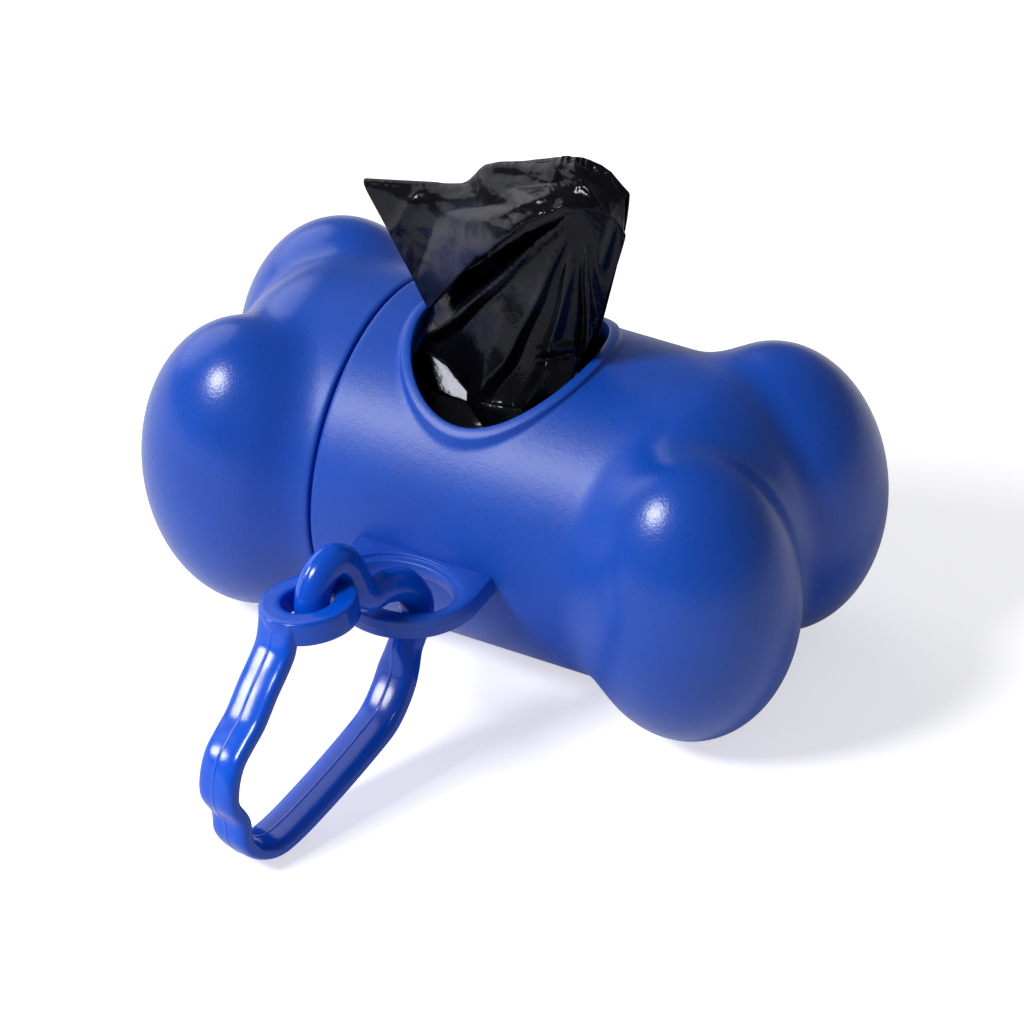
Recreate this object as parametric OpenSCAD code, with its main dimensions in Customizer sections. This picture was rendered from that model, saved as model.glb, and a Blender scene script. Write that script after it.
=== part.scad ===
// Bag dispenser in the shape of a bone: a hollow body with a bag window and a
// D-shaped tab, a push-on end cap, a roll of bags on its core, the bag that is
// pulled out, and a one-piece clip hooked through the tab.
// +X runs along the tube, -X is the cap's end, -Y is the tab's side, +Z is up.
// The origin is the middle of the tube's axis, where the roll sits.

/* [Bone] */
// Outer radius of the tube
tube_r = 19.9; // [18:0.1:22]
// Distance from the middle to the centre of each pair of lobes, along the tube
lobe_x = 28.8; // [27.5:0.1:34]
// Distance from the tube's axis to the centre of each lobe, across the tube
lobe_y = 11.3; // [10:0.1:12.5]
// Half length of a lobe along the tube
lobe_len = 13.3; // [12.5:0.1:14.5]
// Half width of a lobe across the tube
lobe_wid = 12.5; // [11.5:0.1:14]
// Half height of a lobe, a little less than the tube's
lobe_high = 19.1; // [18.8:0.1:22]
// Radius of the soft fillet between tube and lobes
fillet = 2.6; // [2:0.2:6]
// Radius of the fillet in the valley between the two lobes of an end
valley = 1.9; // [1:0.1:3]
// Distance from the middle to where the tube starts to round off
dome_x = 24.5; // [22:0.5:26]
// Length over which the tube rounds off between the lobes
dome_len = 13.5; // [11:0.5:16]
// Wall thickness of body and cap
wall = 1.6; // [1.2:0.1:2]
// Slope of the floor between the bore and the hollow lobes, across per length
cone = 1.5; // [1:0.1:2]
// Step from the bore down to the start of the hollow lobes
ledge = 0.6; // [0.4:0.1:1]

/* [Cap joint] */
// Distance from the middle to the seam between body and cap
seam_x = 16.2; // [14.5:0.1:17]
// Width of the groove that shows at the seam
seam_gap = 0.3; // [0.2:0.05:0.6]
// Length of the cap's collar inside the body
collar_len = 6; // [4:0.5:6.5]
// Wall of the cap's collar
collar_wall = 1.3; // [1:0.1:1.6]
// Radial clearance between the collar and the bore
collar_clear = 0.08; // [0.05:0.01:0.1]

/* [Window] */
// Half length of the bag window along the tube
win_len = 10.9; // [10:0.1:11.6]
// Half width of the bag window across the tube
win_wid = 13; // [11:0.1:14]
// Width of the raised rim round the window
rim_w = 1.3; // [1:0.1:1.5]
// Height of the raised rim over the tube
rim_h = 0.7; // [0.5:0.1:1]
// Shift of the window from the middle, towards the closed end
win_x = 0.3; // [0:0.1:1]

/* [Tab] */
// Half width of the tab, and radius of its round end
tab_r = 8.9; // [8.5:0.1:9.6]
// Distance from the tube to the centre of the tab's round end
tab_reach = 3.6; // [3.2:0.1:4.4]
// Thickness of the tab
tab_t = 2.6; // [2.2:0.1:2.8]
// Shift of the tab along the tube from the middle
tab_x = -0.7; // [-1.4:0.1:0]
// Half length of the eye through the tab
eye_len = 6.5; // [6.2:0.1:6.7]
// Half width of the eye through the tab
eye_wid = 4.3; // [4.2:0.1:4.5]
// Width of the tab's front edge outside the eye
eye_edge = 2.6; // [2.4:0.1:2.8]
// Depth of the step round the eye's mouth, on both faces
eye_step = 0.4; // [0.3:0.1:0.5]
// Width of that step
eye_step_w = 0.9; // [0.7:0.1:1]

/* [Clip] */
// Length of the clip from the eye to its far end
clip_len = 30; // [30:0.5:36]
// Width of the strap
strap_w = 6; // [5:0.1:6.4]
// Thickness of the strap
strap_t = 2.2; // [2:0.1:2.4]
// Thickness of the round hook
hook_d = 4.3; // [4:0.1:4.4]
// Outer radius of the eyelet
ring_r = 5.7; // [5.5:0.1:6]
// Radius of the hole in the eyelet
ring_hole = 3.05; // [2.9:0.05:3.2]
// Thickness of the eyelet
ring_t = 2.8; // [2.4:0.1:3]
// Diameter of the snap bulb under the eyelet
bulb_d = 4.7; // [4.4:0.1:5]
// Distance along the tube from the tab's middle to the clip
clip_x = 0.9; // [0.7:0.05:1.1]
// Turn of the hanging clip about the vertical
clip_turn = 20; // [18:1:22]
// Lean of the hanging clip to its side
clip_lean = 10; // [8:1:12]
// Swing of the clip down to the floor
clip_drop = 0; // [0:0.1:1.5]

/* [Roll of bags] */
// Room all round the wound roll, inside the cap's ledge
roll_room = 0.8; // [0.6:0.1:4]
// Length of the roll
roll_len = 50; // [44:0.5:51]
// Radius of the paper core's bore
core_r = 4; // [3:0.5:9]
// Wall of the paper core
core_wall = 0.8; // [0.5:0.1:1.2]
// Gap between the core and the first turn
core_gap = 0.05; // [0.03:0.01:0.08]
// Gap between the roll and the bore it lies in
roll_gap = 0.3; // [0.2:0.05:0.5]

/* [Pulled-out bag] */
// Thickness that stands for the layers of gathered film
film_t = 1.1; // [0.8:0.1:1.5]
// Height of the bag's top edge over the roll
bag_high = 32; // [28:0.5:34]
// Room between the bag and the window's ends
neck_room = 1.5; // [1.4:0.1:2.5]
// Distance from the window's middle to the bag's left corner
bag_left = 18.2; // [15:0.1:19]
// Distance from the window's middle to the bag's right corner
bag_right = 15.4; // [14:0.1:17]
// Depth of the folds at the top
fold_deep = 2; // [1.4:0.1:3]
// Number of folds
folds = 6; // [4:1:8]
// Gap between the bag and the roll under it
bag_gap = 0.3; // [0.2:0.05:0.5]

/* [Hidden] */
$fn = 96;
SIDES = 64;
INNER_SIDES = 48;
blue = [0.12, 0.32, 0.75];
clip_blue = [0.05, 0.25, 0.72];
bore_r = tube_r - wall;
collar_r = bore_r - collar_clear;
fan_x = lobe_x - 5.2;
roll_r = collar_r - collar_wall - ledge - roll_room;
roll_z = -(roll_room - roll_gap);
roll_top = roll_z + roll_r;
bag_neck = win_len - neck_room;

// ---- the bone's skin, as a rounded union of a tube and two lobes ----
// Rounded union of two distances
function blend(a, b, k) = let (h = max(k - abs(a - b), 0) / k) min(a, b) - h * h * k / 4;
// Distance to an ellipsoid with half sizes s, close enough near its surface
function lobe_dist(p, s) =
    let (k0 = norm([p.x / s.x, p.y / s.y, p.z / s.z]),
         k1 = norm([p.x / (s.x * s.x), p.y / (s.y * s.y), p.z / (s.z * s.z)]))
    k1 == 0 ? -s.x : k0 * (k0 - 1) / k1;
// Distance to the tube, whose end is a dome that dies away between the lobes
function tube_dist(p) =
    let (past = max(abs(p.x) - dome_x, 0) * tube_r / dome_len)
    norm([past, p.y, p.z]) - tube_r;
function skin(p) =
    let (s = [lobe_len, lobe_wid, lobe_high],
         x = abs(p.x),
         a = lobe_dist([x - lobe_x, p.y - lobe_y, p.z], s),
         b = lobe_dist([x - lobe_x, p.y + lobe_y, p.z], s),
         out = min(max((x - dome_x) / (lobe_x - dome_x), 0), 1))
    blend(blend(a, b, valley), tube_dist(p), fillet + (valley - fillet) * out);
// Distance along the ray from o in direction d to the skin, or to depth w under it
function reach(o, d, w, lo = 4, hi = 40, n = 15) =
    n == 0 ? (lo + hi) / 2 :
    let (m = (lo + hi) / 2)
    skin(o + d * m) > -w ? reach(o, d, w, lo, m, n - 1) : reach(o, d, w, m, hi, n - 1);
// Rays square to the axis up to fan_x, then a fan of them over the end
function stations(xs, fan) =
    concat([for (x = xs) [[x, 0, 0], 0]], [for (i = [1 : fan - 1]) [[fan_x, 0, 0], 90 * i / fan]]);
function ring_points(st, sides, w, start_r, start_x) =
    [for (s = st) [for (j = [0 : sides - 1])
        let (a = 360 * j / sides,
             d = [sin(s[1]), cos(s[1]) * cos(a), cos(s[1]) * sin(a)],
             r = reach(s[0], d, w),
             lim = start_r == 0 ? r : min(r, (start_r + (s[0].x - start_x) * cone) / max(cos(s[1]), 0.2)))
        s[0] + d * lim]];
// A closed solid from rings of points and one point over the end
module ring_solid(rings, tip) {
    n = len(rings[0]);
    m = len(rings);
    pts = concat([for (r = rings) each r], [tip]);
    side = [for (i = [0 : m - 2]) for (j = [0 : n - 1]) let (k = (j + 1) % n)
        each [[i * n + j, (i + 1) * n + k, i * n + k], [i * n + j, (i + 1) * n + j, (i + 1) * n + k]]];
    start = [[for (j = [0 : n - 1]) j]];
    end = [for (j = [0 : n - 1]) [(m - 1) * n + j, m * n, (m - 1) * n + (j + 1) % n]];
    polyhedron(pts, concat(start, side, end));
}
// Half of the bone from start_x to its end, solid
module bone_end(start_x) {
    near = start_x < 0 ? [-14.5, -13, -11.5, -10] : [];
    tail = [10, 12, 13.5, 15, 16.5, 18, 19.5, 21, 22.3];
    xs = concat([start_x], [for (t = near) if (t > start_x + 0.5) t], [for (t = tail) if (t > start_x + 0.7) t], [fan_x]);
    st = stations(xs, 15);
    ring_solid(ring_points(st, SIDES, 0, 0, 0), [fan_x + reach([fan_x, 0, 0], [1, 0, 0], 0), 0, 0]);
}
// The hollow inside the lobes, opening like a cone from a bore of radius r at x
module bone_hollow(x, r) {
    xs = [for (i = [0 : 4]) x + (fan_x - x) * i / 4];
    st = stations(xs, 12);
    ring_solid(ring_points(st, INNER_SIDES, wall, r, x),
               [fan_x + reach([fan_x, 0, 0], [1, 0, 0], wall), 0, 0]);
}
module along_x(x, r, h) translate([x, 0, 0]) rotate([0, 90, 0]) cylinder(r = r, h = h);

// ---- body ----
function ellipse(a, b, n = 72) = [for (i = [0 : n - 1]) [a * cos(360 * i / n), b * sin(360 * i / n)]];
module window_prism(grow) {
    translate([win_x, 0, 4]) linear_extrude(tube_r + 4) polygon(ellipse(win_len + grow, win_wid + grow));
}
eye_y = -(tube_r + tab_reach + tab_r - eye_edge - eye_wid);
module tab() {
    difference() {
        translate([tab_x, 0, -tab_t / 2]) linear_extrude(tab_t) difference() {
            union() {
                translate([0, -tube_r - tab_reach]) circle(r = tab_r);
                translate([-tab_r, -tube_r - tab_reach]) square([2 * tab_r, tab_reach + wall * 0.8]);
            }
            translate([0, eye_y]) polygon(ellipse(eye_len, eye_wid));
            translate([-tab_r - 1, -tube_r + wall * 0.8]) square([2 * tab_r + 2, tab_r]);
        }
        for (s = [-1, 1]) translate([tab_x, eye_y, s * tab_t / 2 - (s > 0 ? eye_step : 0)])
            linear_extrude(eye_step) polygon(ellipse(eye_len + eye_step_w, eye_wid + eye_step_w));
    }
}
body_end_x = 17;
module body_shell() {
    color(blue) {
        difference() {
            union() {
                bone_end(-seam_x + seam_gap / 2);
                intersection() {
                    along_x(win_x - win_len - rim_w - 1, tube_r + rim_h, 2 * (win_len + rim_w + 1));
                    window_prism(rim_w);
                }
            }
            along_x(-seam_x - 1, bore_r, seam_x + 1 + body_end_x);
            bone_hollow(body_end_x - 0.1, bore_r - ledge);
            window_prism(0);
        }
        tab();
    }
}

// ---- end cap ----
cap_end_x = seam_x + 5;
module end_cap() {
    color(blue) mirror([1, 0, 0]) difference() {
        union() {
            bone_end(seam_x + seam_gap / 2);
            along_x(seam_x - collar_len, collar_r, collar_len + 2);
        }
        along_x(seam_x - collar_len - 1, collar_r - collar_wall, collar_len + 1 + cap_end_x - seam_x);
        bone_hollow(cap_end_x - 0.1, collar_r - collar_wall - ledge);
    }
}

// ---- roll of bags ----
module roll_core() {
    color([0.75, 0.66, 0.52]) translate([0, 0, roll_z]) difference() {
        along_x(-roll_len / 2, core_r + core_wall, roll_len);
        along_x(-roll_len / 2 - 1, core_r, roll_len + 2);
    }
}
module bag_roll() {
    color([0.05, 0.05, 0.06]) translate([0, 0, roll_z]) difference() {
        along_x(-roll_len / 2, roll_r, roll_len);
        along_x(-roll_len / 2 - 1, core_r + core_wall + core_gap, roll_len + 2);
    }
}

// ---- pulled-out bag: a gathered sheet that fans out over the window ----
lead_z = roll_top + bag_gap;
// The sheet runs straight up through the window, then opens to both sides
function bag_side(u, t) = u < 0
    ? lookup(t, [[0, bag_neck], [0.27, bag_neck], [0.36, bag_left * 0.68], [0.64, bag_left * 0.83], [1, bag_left]])
    : lookup(t, [[0, bag_neck], [0.2, bag_neck], [0.27, bag_right * 0.75], [0.42, bag_right * 0.8],
                 [0.63, bag_right * 0.91], [0.76, bag_right * 0.98], [1, bag_right]]);
// Height of the ragged top edge
function bag_top(u) = bag_high
    * lookup(u, [[-1, 0.66], [-0.45, 0.73], [-0.2, 0.79], [0.15, 0.9], [0.5, 0.97], [0.7, 1], [0.85, 0.98], [1, 0.91]]);
function bag_fold(u, t) = fold_deep * (0.4 + 0.6 * t) * sin(180 * folds * u + 40 * t) * (1 - 0.35 * u * u);
function bag_point(u, t) = [win_x + u * bag_side(u, t), bag_fold(u, t), lead_z + t * bag_top(u)];
module bag_lead() {
    nu = 36;
    nt = 22;
    front = [for (i = [0 : nt]) for (j = [0 : nu])
        bag_point(2 * j / nu - 1, i / nt) + [0, film_t / 2, 0]];
    back = [for (i = [0 : nt]) for (j = [0 : nu])
        bag_point(2 * j / nu - 1, i / nt) - [0, film_t / 2, 0]];
    q = nu + 1;
    k = q * (nt + 1);
    edge = concat([for (j = [0 : nu]) j], [for (i = [1 : nt]) i * q + nu],
        [for (j = [nu - 1 : -1 : 0]) nt * q + j], [for (i = [nt - 1 : -1 : 1]) i * q]);
    ne = len(edge);
    faces = concat(
        [for (i = [0 : nt - 1]) for (j = [0 : nu - 1]) let (a = i * q + j)
            each [[a, a + 1, a + q + 1], [a, a + q + 1, a + q]]],
        [for (i = [0 : nt - 1]) for (j = [0 : nu - 1]) let (a = k + i * q + j)
            each [[a, a + q + 1, a + 1], [a, a + q, a + q + 1]]],
        [for (e = [0 : ne - 1]) let (a = edge[e], b = edge[(e + 1) % ne])
            each [[a, k + a, k + b], [a, k + b, b]]]);
    color([0.05, 0.05, 0.06]) polyhedron(concat(front, back), faces);
}

// ---- clip, drawn flat: x is forward from the eye, y is up ----
// Round curve through a list of points, n steps to each
function spline(p, n) = [for (i = [0 : len(p) - 2]) for (j = [0 : n - (i == len(p) - 2 ? 0 : 1)])
    let (t = j / n, a = p[max(i - 1, 0)], b = p[i], c = p[i + 1], d = p[min(i + 2, len(p) - 1)])
    0.5 * (2 * b + t * (c - a) + t * t * (2 * a - 5 * b + 4 * c - d) + t * t * t * (3 * b - a - 3 * c + d))];
function unit(v) = v / norm(v);
function dir_at(c, i) = unit(c[min(i + 1, len(c) - 1)] - c[max(i - 1, 0)]);
// Points drawn for a clip 30 long, at the clip's own length
function sized(p) = [for (q = p) q * clip_len / 30];
// The strap's middle line: down the back leg, along the run, round the bottom
// and up the front leg past its finger grooves to the eyelet
strap_line = spline(sized([[1.6, -4.7], [2.4, -6.3], [4.3, -9.1], [6.7, -11.5], [9.7, -13.1], [14, -15], [18, -16.6],
    [22, -18], [25, -18.5], [27.6, -17.5], [28.9, -15.5], [28.8, -13.6], [28.9, -12.4], [29.8, -10.1], [29.3, -7.7],
    [28.1, -5.5], [26.4, -3.9], [24.4, -2.2], [22, 0.6], [20, 2.7], [18.3, 4.2], [16.9, 5.3]]), 4);
// The hook's middle line: up through the eye, over the tab's front edge, up in
// an arch and down through the eyelet
hook_line = spline(sized([[1.8, -5.2], [0.1, -2.8], [-1.1, -0.9], [-1.2, 1], [0.2, 3.3], [2.6, 4.3], [4.9, 4.5],
    [6.2, 5.7], [6.7, 7.6], [7.4, 9.6], [9, 10.8], [10.9, 10.1], [12.3, 8.3], [12.9, 6.2], [13, 3.9], [13, 2.3]]), 3);
ring_at = clip_len / 30 * [13.2, 6.6];
module strap() {
    n = len(strap_line);
    side = function (s) [for (i = [0 : n - 1]) let (d = dir_at(strap_line, i))
        strap_line[i] + s * strap_t / 2 * [-d.y, d.x]];
    left = side(1);
    right = side(-1);
    translate([0, 0, -strap_w / 2]) linear_extrude(strap_w)
        polygon(concat(left, [for (i = [n - 1 : -1 : 0]) right[i]]));
}
module hook() {
    n = len(hook_line);
    k = 12;
    // half width across the strap and half thickness along the line
    size = function (i) let (t = min(i / 4, 1), b = max(i - (n - 5), 0) / 4,
                             bulge = b > 0 && b < 1 ? (bulb_d - hook_d) / 2 * sin(180 * b) : 0)
        b >= 1 ? [0.8, 0.8] : [strap_w / 2 * (1 - t) + hook_d / 2 * t + bulge,
                             strap_t / 2 * (1 - t) + hook_d / 2 * t + bulge];
    rings = [for (i = [0 : n - 1]) let (d = dir_at(hook_line, i), s = size(i), nrm = [-d.y, d.x])
        [for (j = [0 : k - 1]) let (a = 360 * (j + 0.5) / k, e = nrm * s[1] * cos(a))
            [hook_line[i].x + e.x, hook_line[i].y + e.y, s[0] * sin(a)]]];
    pts = [for (r = rings) each r];
    faces = concat([[for (j = [0 : k - 1]) j]],
        [for (i = [0 : n - 2]) for (j = [0 : k - 1]) let (m = (j + 1) % k)
            each [[i * k + j, (i + 1) * k + j, (i + 1) * k + m], [i * k + j, (i + 1) * k + m, i * k + m]]],
        [[for (j = [k - 1 : -1 : 0]) (n - 1) * k + j]]);
    polyhedron(pts, faces);
}
module eyelet() {
    translate([ring_at.x, ring_at.y, 0]) rotate([90, 0, 0]) difference() {
        cylinder(r = ring_r, h = ring_t, center = true);
        cylinder(r = ring_hole, h = ring_t + 2, center = true);
    }
}
// Middle of the tab's front edge, which the clip swings about
edge_y = -(tube_r + tab_reach + tab_r - eye_edge / 2);
eye_u = eye_edge / 2 + 2.2 * clip_len / 30;
module clip() {
    color(clip_blue) translate([tab_x + clip_x, edge_y, 0]) rotate([0, 0, -clip_turn]) rotate([0, -clip_lean, 0])
        rotate([clip_drop, 0, 0]) rotate([90, 0, -90]) translate([-eye_u, 0, 0]) {
            difference() {
                strap();
                translate([ring_at.x, ring_at.y, 0]) rotate([90, 0, 0]) cylinder(r = ring_hole, h = 12, center = true);
            }
            hook();
            eyelet();
        }
}

body_shell();
end_cap();
roll_core();
bag_roll();
bag_lead();
clip();
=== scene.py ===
"""Looks of the bone-shaped bag dispenser: shell, cap, roll of film bags, pulled-out bag and clip."""
import bpy
import bmesh
import math
import numpy as np
from mathutils import Matrix, Vector


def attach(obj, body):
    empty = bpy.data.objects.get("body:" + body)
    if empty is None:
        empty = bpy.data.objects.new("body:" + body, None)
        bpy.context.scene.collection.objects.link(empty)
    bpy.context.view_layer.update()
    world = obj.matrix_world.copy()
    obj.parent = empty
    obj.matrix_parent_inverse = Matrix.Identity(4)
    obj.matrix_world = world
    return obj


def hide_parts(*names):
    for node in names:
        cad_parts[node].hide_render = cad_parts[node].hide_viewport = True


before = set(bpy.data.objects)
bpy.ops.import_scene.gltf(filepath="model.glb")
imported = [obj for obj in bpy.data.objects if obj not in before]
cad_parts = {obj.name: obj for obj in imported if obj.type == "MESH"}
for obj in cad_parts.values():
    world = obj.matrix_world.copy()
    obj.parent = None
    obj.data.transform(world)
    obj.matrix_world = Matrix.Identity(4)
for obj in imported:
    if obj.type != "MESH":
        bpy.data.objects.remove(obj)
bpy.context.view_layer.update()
mm = 0.001

# sizes of the solid model, in millimetres
tube_r, lobe_x, lobe_y = 19.9, 28.8, 11.3
lobe_half = np.array([13.3, 12.5, 19.1])
fillet, valley, dome_x, dome_len = 2.6, 1.9, 24.5, 13.5
wall, cone, ledge = 1.6, 1.5, 0.6
seam_x, seam_gap, collar_len, collar_wall, collar_clear = 16.2, 0.3, 6.0, 1.3, 0.08
win_len, win_wid, rim_w, rim_h, win_x = 10.9, 13.0, 1.3, 0.7, 0.3
tab_r, tab_reach, tab_t, tab_x = 8.9, 3.6, 2.6, -0.7
eye_len, eye_wid, eye_edge, eye_step, eye_step_w = 6.5, 4.3, 2.6, 0.4, 0.9
strap_w, strap_t, hook_d, ring_r, ring_hole, ring_t, bulb_d = 6.0, 2.2, 4.3, 5.7, 3.05, 2.8, 4.7
clip_x, clip_turn, clip_lean, clip_drop = 0.9, 20.0, 10.0, 0.0
roll_len, core_r, core_wall, core_gap, roll_gap, roll_room = 50.0, 4.0, 0.8, 0.05, 0.3, 0.8
bore_r = tube_r - wall
collar_r = bore_r - collar_clear
fan_x = lobe_x - 5.2
roll_r = collar_r - collar_wall - ledge - roll_room
roll_z = -(roll_room - roll_gap)


# ---- grids of points made into meshes ----
def net(rows):
    """Quads between closed rings of points: rows is an array of rings, each with the same number of points."""
    rows = np.asarray(rows, float)
    m, n = rows.shape[:2]
    at = np.arange(m * n).reshape(m, n)
    nxt = np.roll(at, -1, axis=1)
    quads = np.stack([at[:-1], at[1:], nxt[1:], nxt[:-1]], -1).reshape(-1, 4)
    return rows.reshape(-1, 3), quads


def sheet_net(rows):
    """Quads between open rows of points."""
    rows = np.asarray(rows, float)
    m, n = rows.shape[:2]
    at = np.arange(m * n).reshape(m, n)
    quads = np.stack([at[:-1, :-1], at[1:, :-1], at[1:, 1:], at[:-1, 1:]], -1).reshape(-1, 4)
    return rows.reshape(-1, 3), quads


def cap_net(ring, tip):
    """A fan of triangles from a closed ring to one point."""
    n = len(ring)
    at = np.arange(n)
    tris = np.stack([at, np.roll(at, -1), np.full(n, n), np.full(n, n)], -1)
    return np.vstack([ring, [tip]]), tris


def piece(name, patches, body, material, closed=True, weld=2e-6):
    """One mesh object from patches of (points in mm, quads), welded where patches meet, with faces outwards."""
    points, quads, start = [], [], 0
    for p, q in patches:
        points.append(p)
        quads.append(q + start)
        start += len(p)
    points = np.vstack(points) * mm
    quads = np.vstack(quads)
    mesh = bpy.data.meshes.new(name)
    mesh.from_pydata(points.tolist(), [], [list(dict.fromkeys(q)) for q in quads.tolist()])
    bm = bmesh.new()
    bm.from_mesh(mesh)
    bmesh.ops.remove_doubles(bm, verts=bm.verts, dist=weld)
    loose = [v for v in bm.verts if not v.link_faces]
    bmesh.ops.delete(bm, geom=loose, context="VERTS")
    if closed:
        bmesh.ops.recalc_face_normals(bm, faces=bm.faces)
    bm.to_mesh(mesh)
    bm.free()
    mesh.polygons.foreach_set("use_smooth", np.ones(len(mesh.polygons), bool))
    obj = bpy.data.objects.new(name, mesh)
    bpy.context.scene.collection.objects.link(obj)
    mesh.materials.append(material)
    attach(obj, body)
    return obj


# ---- the bone's skin ----
def meet(a, b, k):
    """Rounded union of two distances: the smaller one, less a quarter of the squared closeness times k."""
    h = np.maximum(k - np.abs(a - b), 0) / k
    return np.minimum(a, b) - h * h * k / 4


def lobe_dist(p, s):
    """Distance to an ellipsoid with half sizes s, near its surface: k0 (k0 - 1) / k1."""
    k0 = np.linalg.norm(p / s, axis=-1)
    k1 = np.linalg.norm(p / (s * s), axis=-1)
    return k0 * (k0 - 1) / np.maximum(k1, 1e-9)


def skin(p):
    """Distance to the bone: two lobes and a domed tube in one rounded union, the same at both ends."""
    x = np.abs(p[..., 0])
    y, z = p[..., 1], p[..., 2]
    a = lobe_dist(np.stack([x - lobe_x, y - lobe_y, z], -1), lobe_half)
    b = lobe_dist(np.stack([x - lobe_x, y + lobe_y, z], -1), lobe_half)
    past = np.maximum(x - dome_x, 0) * tube_r / dome_len
    tube = np.sqrt(past ** 2 + y ** 2 + z ** 2) - tube_r
    out = np.clip((x - dome_x) / (lobe_x - dome_x), 0, 1)
    h = fillet + (valley - fillet) * out
    return meet(meet(a, b, valley), tube, h)


def reach(start, way, depth=0.0):
    """Length along a ray to the skin, or to a depth under it, by halving an interval 30 times."""
    lo = np.full(start.shape[:-1], 4.0)
    hi = np.full(start.shape[:-1], 40.0)
    for _ in range(30):
        mid = (lo + hi) / 2
        over = skin(start + way * mid[..., None]) > -depth
        hi = np.where(over, mid, hi)
        lo = np.where(over, lo, mid)
    return (lo + hi) / 2


def rays(x, fan, angle):
    """Start and direction of a ray: at x on the axis, tipped by fan towards +X, turned by angle from +Z to +Y."""
    x, fan, angle = np.broadcast_arrays(x, fan, angle)
    start = np.stack([x, 0 * x, 0 * x], -1).astype(float)
    way = np.stack([np.sin(fan), np.cos(fan) * np.sin(angle), np.cos(fan) * np.cos(angle)], -1)
    return start, way


def skin_rings(x, fan, angle, depth=0.0, lim=None, drop=0.0):
    """Points where rays meet the skin, at most lim from the axis, less a drop."""
    start, way = rays(x, fan, angle)
    r = reach(start, way, depth)
    if lim is not None:
        r = np.minimum(r, lim)
    return start + way * (r - drop)[..., None]


def round_rings(x, r, angle):
    """Points of plain rings square to the axis."""
    x, r, angle = np.broadcast_arrays(x, r, angle)
    return np.stack([x, r * np.sin(angle), r * np.cos(angle)], -1)


around = 240
turn = np.arange(around) * 2 * np.pi / around
half_window = 46
pole = fan_x + reach(np.array([[fan_x, 0.0, 0.0]]), np.array([[1.0, 0.0, 0.0]]))[0]
pole_in = fan_x + reach(np.array([[fan_x, 0.0, 0.0]]), np.array([[1.0, 0.0, 0.0]]), wall)[0]


def without_window(rows, first, last):
    """A closed net of rings with the window's rectangle of quads left out."""
    points, quads = net(rows)
    n = rows.shape[1]
    i, j = np.divmod(np.arange(len(quads)), n)
    side = (j + half_window) % n < 2 * half_window
    return points, quads[~(side & (i >= first) & (i < last))]


def loop_round(first, last):
    """Indices (ring, column) round the window's rectangle, once, in order."""
    j = np.arange(-half_window, half_window)
    i = np.arange(first, last)
    ring = np.concatenate([np.full(j.size, first), i, np.full(j.size, last), i[::-1] + 1])
    col = np.concatenate([j, np.full(i.size, half_window), j[::-1] + 1, np.full(i.size, -half_window)])
    return ring, col


def window_rings(xs, first, last, surface, foot, steps):
    """Rings from the rectangle's edge in to the window: x and angle go evenly from the edge to an ellipse."""
    ring, col = loop_round(first, last)
    x0, a0 = xs[ring], col * 2 * np.pi / around
    phi = np.arctan2(tube_r * np.sin(a0) / win_wid, (x0 - win_x) / win_len)
    x1 = win_x + (win_len + foot) * np.cos(phi)
    y1 = (win_wid + foot) * np.sin(phi)
    r = np.full(x0.shape, tube_r)
    for _ in range(6):
        a1 = np.arcsin(np.clip(y1 / r, -1, 1))
        r = surface(x1, a1)
    rings = []
    for t in np.linspace(0, 1, steps):
        e = t ** 0.8
        x, a = x0 + (x1 - x0) * e, a0 + (a1 - a0) * e
        rr = surface(x, a)
        rings.append(np.stack([x, rr * np.sin(a), rr * np.cos(a)], -1))
    return phi, rings


def on_skin(x, a):
    """Radius of the skin at x along the axis and angle a round it."""
    start, way = rays(x, 0.0, a)
    return reach(start, way)


def rim_rings(phi, profile):
    """Rings of the raised rim: offset from the window's edge and height over the tube, straight up and down."""
    rings = []
    for off, high in profile:
        x = win_x + (win_len + off) * np.cos(phi)
        y = (win_wid + off) * np.sin(phi)
        r = np.full(x.shape, tube_r + high)
        for _ in range(6):
            a = np.arcsin(np.clip(y / r, -1, 1))
            r = np.maximum(on_skin(x, a), tube_r + high) if high >= 0 else r
        rings.append(np.stack([x, y, np.sqrt(r * r - y * y)], -1))
    return rings


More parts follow.
